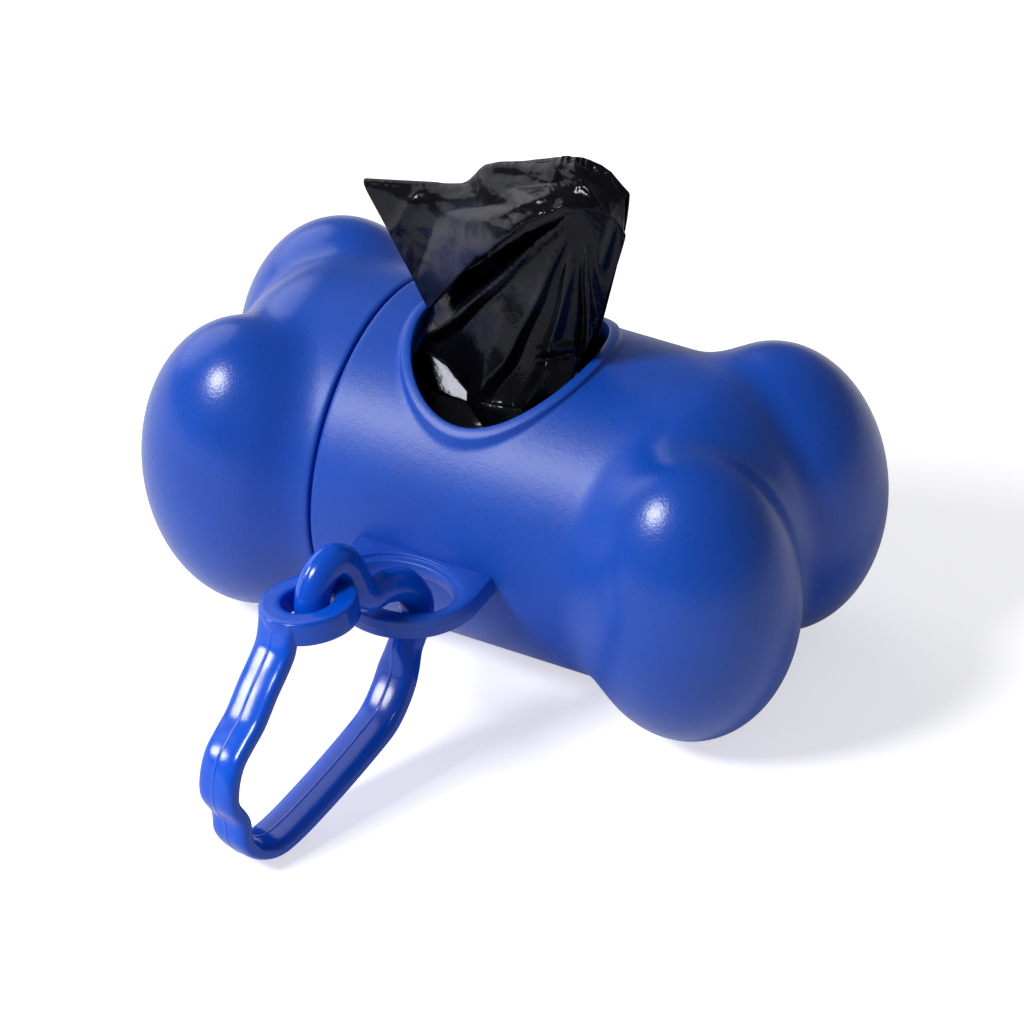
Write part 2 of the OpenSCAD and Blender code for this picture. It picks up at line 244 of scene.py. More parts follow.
def body_patches():
    """The body's closed skin: outside, window with rim, bore and hollow lobes, seam edge."""
    seam = -seam_x + seam_gap / 2
    edge = [seam, seam + 0.05, seam + 0.15, seam + 0.35, seam + 0.7]
    drop = [0.4, 0.2, 0.08, 0.0, 0.0]
    mid = np.linspace(-14.4, 15.2, 50)
    xs = np.concatenate([edge, mid, np.linspace(15.9, fan_x, 14)])
    drops = np.concatenate([drop, np.zeros(len(xs) - len(drop))])
    fans = np.radians(np.linspace(0, 90, 61)[1:-1])
    x = np.concatenate([xs, np.full(fans.size, fan_x)])
    fan = np.concatenate([np.zeros(xs.size), fans])
    d = np.concatenate([drops, np.zeros(fans.size)])
    outer = skin_rings(x[:, None], fan[:, None], turn[None], drop=d[:, None])
    first, last = len(edge), len(edge) + len(mid) - 1
    # inside: bore, ledge, then a cone that opens to the hollow lobes
    bore_end, r0 = 17.0, bore_r - ledge
    bore_x = np.concatenate([[seam + 0.2], edge[3:], mid, [16.0, bore_end]])
    bore = round_rings(bore_x[:, None], bore_r, turn[None])
    hx = np.concatenate([np.linspace(bore_end, fan_x, 12), np.full(fans.size, fan_x)])
    hf = np.concatenate([np.zeros(12), fans])
    lim = (r0 + (hx - bore_end) * cone) / np.maximum(np.cos(hf), 0.2)
    hollow = skin_rings(hx[:, None], hf[:, None], turn[None], depth=wall, lim=lim[:, None])
    f_in = 3
    mouth = [outer[0], round_rings(seam, bore_r + 0.2, turn), bore[0]]
    phi, plate = window_rings(xs, first, last, on_skin, rim_w + 0.5, 12)
    rim = rim_rings(phi, [(rim_w + 0.5, 0.0), (rim_w + 0.2, 0.04), (rim_w + 0.06, 0.14), (rim_w, 0.3),
                          (rim_w, rim_h - 0.25), (rim_w - 0.07, rim_h - 0.08), (rim_w - 0.25, rim_h),
                          (0.65, rim_h + 0.02), (0.28, rim_h), (0.08, rim_h - 0.08), (0.0, rim_h - 0.28)])
    _, inner_plate = window_rings(bore_x, f_in, f_in + len(mid) - 1, lambda q, a: np.full(q.shape, bore_r), 0.0, 8)
    well = [rim[-1], inner_plate[-1]]
    return [without_window(outer, first, last), net(plate), net(rim), net(well), net(inner_plate),
            without_window(bore, f_in, f_in + len(mid) - 1), net([bore[-1], hollow[0]]), net(hollow),
            net(mouth), cap_net(outer[-1], [pole, 0, 0]), cap_net(hollow[-1], [pole_in, 0, 0])]


def cap_patches():
    """The cap's closed skin: lobes outside, collar with a bevelled mouth, hollow inside. Made at +X and mirrored."""
    seam = seam_x + seam_gap / 2
    edge = [seam, seam + 0.05, seam + 0.15, seam + 0.35, seam + 0.7]
    xs = np.concatenate([edge, np.linspace(seam + 1.2, fan_x, 15)])
    d = np.concatenate([[0.4, 0.2, 0.08, 0.0, 0.0], np.zeros(15)])
    fans = np.radians(np.linspace(0, 90, 61)[1:-1])
    x = np.concatenate([xs, np.full(fans.size, fan_x)])
    fan = np.concatenate([np.zeros(xs.size), fans])
    outer = skin_rings(x[:, None], fan[:, None], turn[None], drop=np.concatenate([d, np.zeros(fans.size)])[:, None])
    tip_x = seam_x - collar_len
    end, r_in = seam_x + 5.0, collar_r - collar_wall
    cx = np.array([seam, seam, tip_x + 0.9, tip_x + 0.3, tip_x + 0.08, tip_x, tip_x, tip_x + 0.15, tip_x + 0.5,
                   end, end])
    cr = np.array([bore_r + 0.4, collar_r, collar_r, collar_r - 0.12, collar_r - 0.3, collar_r - 0.5,
                   r_in + 0.3, r_in + 0.08, r_in, r_in, r_in - ledge])
    collar = round_rings(cx[:, None], cr[:, None], turn[None])
    hx = np.concatenate([np.linspace(end, fan_x, 6), np.full(fans.size, fan_x)])
    hf = np.concatenate([np.zeros(6), fans])
    lim = (r_in - ledge + (hx - end) * cone) / np.maximum(np.cos(hf), 0.2)
    hollow = skin_rings(hx[:, None], hf[:, None], turn[None], depth=wall, lim=lim[:, None])
    out = [net(outer), net([outer[0], collar[0]]), net(collar), net(hollow), net([collar[-1], hollow[0]]),
           cap_net(outer[-1], [pole, 0, 0]), cap_net(hollow[-1], [pole_in, 0, 0])]
    return [(p * [-1, 1, 1], q) for p, q in out]


def tab_patches():
    """The tab: a D-shaped plate with an oval eye, a step round the eye and a parting line on its edge."""
    n = 288
    eye_y = -(tube_r + tab_reach + tab_r - eye_edge - eye_wid)
    f = np.arange(n) * 2 * np.pi / n
    way = np.stack([np.cos(f), np.sin(f)], -1)
    # distance from the eye's middle to the D outline: round end, straight sides, straight root
    cy = -(tube_r + tab_reach) - eye_y
    b = way[:, 1] * cy
    to_round = b + np.sqrt(np.maximum(b * b - cy * cy + tab_r ** 2, 0))
    to_side = tab_r / np.maximum(np.abs(way[:, 0]), 1e-6)
    root = -tube_r + wall * 0.8 - eye_y
    to_root = np.where(way[:, 1] > 1e-6, root / np.maximum(way[:, 1], 1e-6), 1e9)
    out_r = np.where(way[:, 1] * np.minimum(to_round, 1e3) < cy, to_round, np.minimum(to_side, to_root))
    in_r = 1 / np.sqrt((way[:, 0] / eye_len) ** 2 + (way[:, 1] / eye_wid) ** 2)
    step_r = 1 / np.sqrt((way[:, 0] / (eye_len + eye_step_w)) ** 2 + (way[:, 1] / (eye_wid + eye_step_w)) ** 2)
    t = tab_t / 2
    half = [(out_r + 0.06, 0.0), (out_r + 0.02, 0.1), (out_r, 0.25), (out_r - 0.03, t - 0.25), (out_r - 0.1, t - 0.08),
            (out_r - 0.3, t), (step_r + 0.15, t), (step_r + 0.03, t - 0.04), (step_r, t - 0.12),
            (step_r, t - eye_step + 0.08), (step_r - 0.08, t - eye_step), (in_r + 0.25, t - eye_step),
            (in_r + 0.08, t - eye_step - 0.06), (in_r, t - eye_step - 0.2), (in_r - 0.03, 0.1)]
    prof = half + [(in_r - 0.06, 0.0)] + [(r, -z) for r, z in half[:0:-1]] + [half[0]]
    rings = [np.stack([tab_x + r * way[:, 0], eye_y + r * way[:, 1], np.full(n, z)], -1) for r, z in prof]
    return [net(rings)]


# ---- clip ----
def loft(levels, steps):
    """Rows between points or curves, each to the next in so many steps, by a Catmull-Rom curve: half of
    2b + t (c - a) + t^2 (2a - 5b + 4c - d) + t^3 (3b - a - 3c + d)."""
    p = np.asarray(levels, float)
    ext = np.concatenate([p[:1], p, p[-1:]])
    rows = []
    for i, n in enumerate(steps):
        t = (np.arange(n) / n).reshape((n,) + (1,) * (p.ndim - 1))
        a, b, c, d = ext[i:i + 4]
        rows.append(b + 0.5 * (t * (c - a) + t ** 2 * (2 * a - 5 * b + 4 * c - d) + t ** 3 * (3 * b - a - 3 * c + d)))
    return np.concatenate(rows + [p[-1:]])


def spaced(line, count):
    """The same curve with evenly spaced points."""
    d = np.r_[0, np.cumsum(np.linalg.norm(np.diff(line, axis=0), axis=1))]
    s = np.linspace(0, d[-1], count)
    return np.stack([np.interp(s, d, line[:, k]) for k in range(line.shape[1])], -1), s


strap_pts = [[17.5, 7.7], [17.9, 6.2], [18.7, 4.3], [20, 2.7], [22, 0.6], [24.4, -2.2], [26.4, -3.9], [28.1, -5.5],
             [29.3, -7.7], [29.8, -10.1], [28.9, -12.4], [28.8, -13.6], [28.9, -15.5], [27.6, -17.5], [25, -18.5],
             [22, -18], [18, -16.6], [14, -15], [9.7, -13.1], [6.7, -11.5], [4.3, -9.1], [2.4, -6.3]]
hook_pts = [[1.4, -4.6], [0.1, -2.8], [-1.1, -0.9], [-1.2, 1], [0.2, 3.3], [2.6, 4.3], [4.9, 4.5], [6.2, 5.7],
            [6.7, 7.6], [7.4, 9.6], [9, 10.8], [10.9, 10.1], [12.3, 8.3], [12.9, 6.2], [13, 3.9], [13, 2.3]]
ring_at = np.array([13.2, 6.6])


def clip_place(p):
    """From the clip's flat drawing (forward, up, across) to the dispenser: pose of the hanging clip."""
    def rot(axis, deg):
        """Matrix of a turn about an axis."""
        c, s = math.cos(math.radians(deg)), math.sin(math.radians(deg))
        return np.array({"x": [[1, 0, 0], [0, c, -s], [0, s, c]], "y": [[c, 0, s], [0, 1, 0], [-s, 0, c]],
                         "z": [[c, -s, 0], [s, c, 0], [0, 0, 1]]}[axis])
    m = rot("z", -clip_turn) @ rot("y", -clip_lean) @ rot("x", clip_drop) @ rot("z", -90) @ rot("x", 90)
    edge_y = -(tube_r + tab_reach + tab_r - eye_edge / 2)
    q = p - np.array([eye_edge / 2 + 2.2, 0, 0])
    return q @ m.T + np.array([tab_x + clip_x, edge_y, 0])


# places across a profile from one edge to the other, close together at the edges and at the parting line
across = np.array([0, 0.025, 0.05, 0.09, 0.18, 0.32, 0.48, 0.64, 0.78, 0.88, 0.95, 0.985, 1])
across = np.concatenate([-across[:0:-1], across])


def rounded_profile(power):
    """A flat oval of half size 1 by 1: height (1 - |q|^p)^(1/p) over the place q, there and back. Returns q, height."""
    pw = np.asarray(power, float)[..., None]
    high = (1 - np.abs(across) ** pw) ** (1 / pw)
    q = np.broadcast_to(across, high.shape)
    q = np.concatenate([q, q[..., -2:0:-1]], -1)
    return q, np.concatenate([high, -high[..., -2:0:-1]], -1)


def clip_patches():
    """The clip in one piece: one profile carried from the eyelet down the finger grooves, round the loop and up
    through the tab's eye as a round hook to its snap bulb, and the eyelet as a flat ring. The profile goes from a
    wide flat oval to a round, and has a fine raised parting line in its middle."""
    points = strap_pts + hook_pts
    line, s = spaced(loft(points, [12] * (len(points) - 1)), 640)
    join = s[np.argmin(np.hypot(*(line - np.array(hook_pts[0])).T))]
    mix = np.clip((s - join + 3.5) / 4.5, 0, 1)
    mix = mix * mix * (3 - 2 * mix)
    left = s[-1] - s
    bulge = ((bulb_d - hook_d) / 2 + 0.1) * np.exp(-((left - 1.7) / 1.0) ** 2)
    end = np.sqrt(np.clip(1 - (np.maximum(1.5 - left, 0) / 1.5) ** 2, 0.004, 1))
    wide = ((strap_w / 2 + 0.05) * (1 - mix) + (hook_d / 2 - 0.1) * mix + bulge) * end
    thick = ((strap_t / 2 - 0.08) * (1 - mix) + (hook_d / 2 - 0.1) * mix + bulge) * end
    q, high = rounded_profile(3.4 - 1.4 * mix)
    w = q * wide[:, None]
    t = high * thick[:, None] + np.sign(high) * 0.06 * np.exp(-(w / 0.11) ** 2)
    d = np.gradient(line, axis=0)
    d /= np.linalg.norm(d, axis=1)[:, None]
    nrm = np.stack([-d[:, 1], d[:, 0]], -1)
    rows = np.concatenate([line[:, None] + nrm[:, None] * t[..., None], w[..., None]], -1)
    n = 144
    f = np.arange(n) * 2 * np.pi / n
    rm, rt, e = (ring_r + ring_hole) / 2, (ring_r - ring_hole) / 2, ring_t / 2 + 0.1
    q, high = rounded_profile(8.0)
    rr = (rm + rt * q)[:, None]
    eyelet = np.stack([ring_at[0] + rr * np.cos(f), np.broadcast_to((ring_at[1] + e * high)[:, None], (len(q), n)),
                       rr * np.sin(f)], -1)
    eyelet = np.concatenate([eyelet, eyelet[:1]])
    out = [net(rows), cap_net(rows[0], rows[0].mean(0)), cap_net(rows[-1], rows[-1].mean(0)), net(eyelet)]
    return [(clip_place(p), q) for p, q in out]


# ---- materials ----
SHADER = "Principled BSDF"


def colour(code):
    """Linear red, green, blue and alpha of an sRGB hex code: c / 12.92 when dark, else ((c + 0.055) / 1.055)^2.4."""
    c = np.array([int(code[i:i + 2], 16) for i in (1, 3, 5)]) / 255
    return np.where(c <= 0.04045, c / 12.92, ((c + 0.055) / 1.055) ** 2.4).tolist() + [1.0]


def per(size):
    """The noise scale at which one cell is size millimetres wide, on Object coordinates, which are in metres."""
    return 1 / (size * mm)


def node(tree, kind, inputs, **settings):
    """One node with its settings. Each input, by name or number, is linked if it is given a socket and set if it is
    given a value. The shader is there from the start, so it is found and not added."""
    made = tree.nodes[kind] if kind == SHADER else tree.nodes.new("ShaderNode" + kind)
    for name, value in settings.items():
        setattr(made, name, value)
    for at, value in inputs.items():
        if isinstance(value, bpy.types.NodeSocket):
            tree.links.new(value, made.inputs[at])
        else:
            made.inputs[at].default_value = value
    return made


def surface(name, shades, shade_size, relief):
    """The start of a material. Its base colour wavers between two shades in patches shade_size mm wide, and it has
    layers of relief, each (grain in mm, detail, strength, depth in mm). Returns the material, its tree, the
    coordinates, and the colour and the relief as sockets."""
    material = bpy.data.materials.new(name)
    material.use_nodes = True
    tree = material.node_tree
    where = node(tree, "TexCoord", {}).outputs["Object"]
    patches = node(tree, "TexNoise", {"Vector": where, "Scale": per(shade_size), "Detail": 3.0})
    share = node(tree, "MapRange", {"Value": patches.outputs["Fac"], "From Min": 0.35, "From Max": 0.65})
    tint = node(tree, "Mix", {0: share.outputs["Result"], 6: colour(shades[0]), 7: colour(shades[1])},
                data_type="RGBA").outputs[2]
    normal = {}
    for grain, detail, strength, depth in relief:
        noise = node(tree, "TexNoise", {"Vector": where, "Scale": per(grain), "Detail": detail, "Roughness": 0.55})
        bump = node(tree, "Bump", {"Height": noise.outputs["Fac"], "Strength": strength, "Distance": depth * mm,
                                   **normal})
        normal = {"Normal": bump.outputs["Normal"]}
    node(tree, SHADER, {"Base Color": tint, **normal})
    return material, tree, where, tint, normal["Normal"]


def shell_plastic():
    """ABS injected into a spark-eroded mould: an even grain with a satin sheen and faint flow marks. Real grain is a
    tenth of a millimetre or less, too fine to show, so it is drawn 0.3 mm wide. The flow marks are 6 mm wide."""
    blue, tree, where, tint, relief = surface(
        "moulded_abs_satin", ("#0449B8", "#064EC1"), 11.111,
        [(0.3125, 2.0, 0.35, 0.06), (0.90909, 1.0, 0.2, 0.08), (6.25, 2.0, 0.10, 0.2)])
    uneven = node(tree, "TexNoise", {"Vector": where, "Scale": per(2.85714), "Detail": 4.0})
    rough = node(tree, "MapRange", {"Value": uneven.outputs["Fac"], "From Min": 0.3, "From Max": 0.7,
                                    "To Min": 0.44, "To Max": 0.54})
    # the lobes are glossier than the tube between them
    along = node(tree, "SeparateXYZ", {0: where}).outputs[0]
    from_middle = node(tree, "Math", {0: along}, operation="ABSOLUTE").outputs[0]
    sheen = node(tree, "MapRange", {"Value": from_middle, "From Min": 19 * mm, "From Max": 27 * mm,
                                    "To Min": 0.44, "To Max": 0.26}, interpolation_type="SMOOTHSTEP")
    # specks of darker pigment, 0.3 mm wide and few
    noise = node(tree, "TexNoise", {"Vector": where, "Scale": per(0.27778), "Detail": 0.0})
    few = node(tree, "MapRange", {"Value": noise.outputs["Fac"], "From Min": 0.75, "From Max": 0.82, "To Max": 0.6})
    specked = node(tree, "Mix", {0: few.outputs["Result"], 6: tint, 7: colour("#03276F")}, data_type="RGBA")
    # ABS has an IOR of 1.54. The sheen is the coat's, near that value, so the base under it hardly mirrors.
    node(tree, SHADER, {"Base Color": specked.outputs[2], "Roughness": rough.outputs["Result"],
                        "Specular IOR Level": 0.05, "Coat Weight": 1.0, "Coat IOR": 1.5,
                        "Coat Roughness": sheen.outputs["Result"], "Coat Normal": relief})
    return blue


def clip_plastic():
    """Polypropylene injected into a polished mould: glossy, with slow ripples about 4 mm wide and a faint unevenness
    0.5 mm wide, as fine as shows. Its IOR is 1.49 and is brought down to 1.45 to match the photo's mirror strength."""
    clip_blue, tree, where, _, _ = surface(
        "moulded_polypropylene_gloss", ("#024BC5", "#0351D0"), 8.3333,
        [(4.16667, 2.0, 0.15, 0.2), (0.454545, 2.0, 0.05, 0.05)])
    uneven = node(tree, "TexNoise", {"Vector": where, "Scale": per(3.33333), "Detail": 4.0})
    rough = node(tree, "MapRange", {"Value": uneven.outputs["Fac"], "From Min": 0.3, "From Max": 0.7,
                                    "To Min": 0.15, "To Max": 0.21})
    node(tree, SHADER, {"Roughness": rough.outputs["Result"], "IOR": 1.45})
    return clip_blue


def film():
    """Polyethylene blown to a thin black film: glossy low down, with wrinkles 3 mm and 0.7 mm wide. On the crumpled
    upper part a lighter bluish grey is painted into the base colour as a painted sheen, standing in for the key light's
    broad reflection there, and the roughness rises with it. Its IOR is 1.51 and is brought down to 1.32, to match how
    little the photo's film mirrors."""
    black, tree, where, tint, _ = surface(
        "blown_polyethylene_film", ("#030305", "#0A0A12"), 5.0,
        [(3.0303, 4.0, 0.26, 0.5), (0.666667, 3.0, 0.16, 0.1)])
    # the painted sheen, a lighter colour where the key light's reflection falls on the flap, comes in blotches, and
    # goes from nothing to full between two places (in mm) on an axis
    blotch = node(tree, "TexNoise", {"Vector": where, "Scale": per(6.66667), "Detail": 4.0, "Roughness": 0.6,
                                     "Distortion": 1.5})
    painted_sheen = node(tree, "MapRange", {"Value": blotch.outputs["Fac"], "From Min": 0.35, "From Max": 0.65,
                                    "To Min": 0.35}).outputs["Result"]
    place = node(tree, "SeparateXYZ", {0: where})
    for axis, none, full in ((1, -1.8, -4.0), (2, 26.0, 32.0), (2, 41.5, 38.0)):
        edge = node(tree, "MapRange", {"Value": place.outputs[axis], "From Min": none * mm, "From Max": full * mm},
                    interpolation_type="SMOOTHSTEP")
        painted_sheen = node(tree, "Math", {0: painted_sheen, 1: edge.outputs["Result"]}, operation="MULTIPLY").outputs[0]
    # painted sheen: a bluish grey mixed into the film's base colour where the mask above is high
    with_painted_sheen = node(tree, "Mix", {0: painted_sheen, 6: tint, 7: colour("#353546")}, data_type="RGBA")
    rough = node(tree, "MapRange", {"Value": painted_sheen, "To Min": 0.17, "To Max": 0.42})
    node(tree, SHADER, {"Base Color": with_painted_sheen.outputs[2], "Roughness": rough.outputs["Result"], "IOR": 1.32,
                        "Specular Tint": colour("#EFF1FF")})
    return black


def wound_film():
    """The same film wound tight on the roll: smoother and glossier, with waves about 5 mm wide."""
    wound, tree, where, _, _ = surface(
        "wound_polyethylene_film", ("#07070A", "#101016"), 6.66667,
        [(4.54545, 2.0, 0.2, 0.3), (0.454545, 2.0, 0.1, 0.04)])
    uneven = node(tree, "TexNoise", {"Vector": where, "Scale": per(2.5), "Detail": 4.0})
    rough = node(tree, "MapRange", {"Value": uneven.outputs["Fac"], "From Min": 0.3, "From Max": 0.7,
                                    "To Min": 0.10, "To Max": 0.2})
    node(tree, SHADER, {"Roughness": rough.outputs["Result"], "IOR": 1.36})
    return wound


def board():
    """Grey-brown paper board, rolled from strips: dull, with fibre clumps about half a millimetre wide."""
    paper, tree, _, _, _ = surface(
        "rolled_paper_board", ("#A69076", "#BFAC90"), 1.11111, [(0.555556, 5.0, 0.4, 0.15)])
    node(tree, SHADER, {"Roughness": 0.9})
    return paper


blue, clip_blue, black, wound, paper = shell_plastic(), clip_plastic(), film(), wound_film(), board()

shell = piece("body_skin", body_patches(), "dispenser", blue)
piece("tab_skin", tab_patches(), "dispenser", blue)
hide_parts("body_shell")
cap = piece("cap_skin", cap_patches(), "cap", blue)
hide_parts("end_cap")
clip = piece("clip_skin", clip_patches(), "clip", clip_blue)
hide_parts("clip")


# ---- roll of bags and its core ----
def roll_patches():
    """The wound roll: rings of film edges on both ends, and a rippled outer turn."""
    n = 256
    f = np.arange(n) * 2 * np.pi / n
    inner = core_r + core_wall + core_gap
    r = np.linspace(inner, roll_r - 0.15, 70)
    depth = 0.10 + 0.10 * np.sin(r * 9.0) + 0.08 * np.sin(r * 23.0 + 1)
    half = roll_len / 2
    left = round_rings((-half + depth)[:, None], r[:, None], f[None])
    x = np.linspace(-half + 0.1, half - 0.1, 160)
    ripple = 0.05 * np.sin(f[None] * 7 + x[:, None] * 0.3) + 0.04 * np.sin(x[:, None] * 1.7 + 3 * np.sin(f[None]))
    skin_r = roll_r - 0.1 + ripple
    # a slack place in the outer turn, at the left of the window, flatter towards the front
    tilt = (f[None] - 5.55) / 0.30
    slack = 1.3 * np.exp(-tilt ** 2) * np.exp(-((x[:, None] + 7.6) / 4.2) ** 4)
    outer = round_rings(x[:, None], skin_r - slack, f[None])
    right = round_rings((half - depth)[::-1, None], r[::-1, None], f[None])
    bore = round_rings(np.linspace(half - depth[0], -half + depth[0], 8)[:, None], inner, f[None])
    rows = np.concatenate([left, outer, right, bore])
    return [net(rows + [0, 0, roll_z])]


def core_patches():
    """The paper core: a tube with soft edges."""
    n = 128
    f = np.arange(n) * 2 * np.pi / n
    h, a, b = roll_len / 2, core_r, core_r + core_wall
    e = 0.1
    x, r = np.transpose([(-h, a + e), (-h, b - e), (-h + e, b), (h - e, b), (h, b - e), (h, a + e), (h - e, a),
                         (-h + e, a), (-h, a + e)])
    return [net(round_rings(x[:, None], r[:, None], f[None]) + [0, 0, roll_z])]


roll = piece("roll_film", roll_patches(), "roll", wound)
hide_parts("bag_roll")
core = piece("roll_core_tube", core_patches(), "roll", paper)
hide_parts("roll_core")


# ---- pulled-out bag ----
def tri(x):
    """Triangle wave from -1 to 1 with period 1, for sharp creases."""
    return 4 * np.abs(x - np.floor(x + 0.5)) - 1


def over(u, table):
    """A curve across the bag: points (u, x, y, z) joined and rounded by a short running mean."""
    k = np.array(table, float)
    fine = np.linspace(-1.1, 1.1, 551)
    out = []
    for c in (1, 2, 3):
        slope = np.interp(np.clip(fine, -1, 1), k[:, 0], k[:, c])
        width = 31
        soft = np.convolve(np.pad(slope, width // 2, mode="edge"), np.ones(width) / width, "valid")
        hard = np.clip((np.abs(fine) - 0.9) / 0.1, 0, 1)
        out.append(np.interp(u, fine, soft * (1 - hard) + slope * hard))
    return np.stack(out, -1)


def ridge(a, b, p, q, high, wide):
    """A fold along the straight line from p to q: high at its crest, falling away over wide to both sides."""
    p, q = np.array(p, float), np.array(q, float)
    d = q - p
    t = np.clip(((a - p[0]) * d[0] + (b - p[1]) * d[1]) / (d @ d), 0, 1)
    far = np.hypot(a - p[0] - t * d[0], b - p[1] - t * d[1])
    fade = np.sin(np.pi * np.clip(0.12 + 0.76 * t, 0, 1)) ** 0.5
    return high * fade * np.exp(-np.abs(far / wide) ** 1.3)


def crumple(a, b, size, seed):
    """Sharp creases in all directions: triangle waves of several lengths, bent by slow waves, multiplied in pairs."""
    rng = np.random.default_rng(seed)
    total = 0.0
    for k in range(7):
        turn_by = rng.uniform(0, np.pi)
        length = size * rng.uniform(0.6, 1.8)
        lean = a * np.cos(turn_by) + b * np.sin(turn_by)
        side = -a * np.sin(turn_by) + b * np.cos(turn_by)
        bend = 0.35 * np.sin(side / length * 1.7 + rng.uniform(0, 6))
        bend = bend + 0.2 * np.sin(lean / length * 0.9 + side / length * 2.9)
        wave = tri(lean / length + bend + rng.uniform(0, 1))
        patch = np.sin(side / length * 1.3 + rng.uniform(0, 6)) * np.sin(lean / length * 0.7 + rng.uniform(0, 6))
        patch = 0.5 + 0.5 * patch
        total = total + wave * patch * length / size
    return total / 4


def on_roll(u, x0, x1, y, lift):
    """A row of points that lies on the roll's top: from x0 to x1, at y, lift above its skin."""
    y = np.broadcast_to(y, u.shape)
    return np.stack([x0 + (x1 - x0) * (u + 1) / 2, y, roll_z + np.sqrt((roll_r + lift) ** 2 - y * y)], -1)


def rise(x, start, width):
    """Straight ramp from 0 at start to 1 at start + width. A negative width runs the other way."""
    return np.clip((x - start) / width, 0, 1)


def folds(a, b, table):
    """Height of several folds together: each is (from, to, height, width), in places across and up."""
    return sum(ridge(a, b, *fold) for fold in table)


to_viewer = np.array([0.39, -0.69, 0.60])
# where a point shows from the front: across is x plus this share of y, and up is z plus this share of y
across_share, up_share = 0.59, 0.84
# the levels that bag_patches names, counted from the roll, and the rows between each and the next
steps = [6, 5, 5, 5, 8, 14, 24, 10, 16, 16, 16, 6, 12, 14, 6, 6]
# folds of the front film run out like bent rays from one place under the flap's right end: direction, height
ray_from = (11.0, 43.0)
ray_folds = [(-160, 0), (-150, -0.7), (-141, 0.5), (-137.5, -0.9), (-134, -0.8), (-128.5, 1.0), (-126, -0.5),
             (-120, 0.1), (-114, 0.4), (-111, -0.8), (-107, -1.0), (-104.5, 0.6), (-101.5, 0.3), (-97, 0.2),
             (-94.5, -1.1), (-92.5, 0.9), (-90.5, -0.7), (-88, 0.6), (-85, -0.3), (-78, 0)]
front_folds = [
    # a kinked facet low down at the right, with thin creases over it
    ((4.8, 12.6), (9.4, 17.6), 1.3, 3.0), ((4.4, 17.9), (9.6, 20.7), -0.9, 0.5), ((3.9, 18.8), (10.4, 21.6), 0.8, 0.45),
    # short folds at the left edge and under the flap
    ((-6.5, 24.5), (-0.5, 30.6), 0.6, 0.5), ((-8.6, 22.9), (-1.5, 29.0), -0.8, 0.8),
    ((-2.7, 31.6), (-1.0, 28.8), 0.8, 0.6),
    # long crisp creases, and the kink at the fold's right end
    ((8.8, 39.4), (-10.1, 16.6), 0.75, 0.55), ((8.3, 37.0), (2.2, 22.5), 0.6, 0.5),
    ((10.6, 35.5), (10.7, 20.5), 0.7, 0.5), ((8.9, 33.0), (5.4, 20.0), 0.5, 0.5),
    ((14.6, 41.0), (12.4, 33.5), 0.6, 0.6), ((3.2, 33.0), (-6.8, 20.0), 0.4, 0.5)]
flap_folds = [
    # down the left corner, and the hollow between it and the swelling
    ((-10.8, 37.6), (-14.6, 30.3), 0.9, 0.9), ((-0.6, 37.8), (-8.2, 34.8), -1.1, 1.2),
    ((-8.2, 34.8), (-12.0, 25.0), -1.2, 1.3),
    # along the fold's edge and up to the torn edge
    ((4.5, 37.6), (8.6, 39.6), 0.7, 0.7), ((-0.5, 36.4), (5.6, 41.2), 0.6, 0.8), ((0.5, 40.5), (7.0, 43.2), -0.7, 0.8),
    ((9.0, 46.0), (13.5, 39.8), 0.6, 0.7), ((7.0, 45.5), (9.8, 41.0), -0.5, 0.8),
    ((4.0, 39.8), (7.4, 41.7), 0.35, 0.8), ((7.5, 40.2), (14.6, 40.2), 0.5, 0.6)]


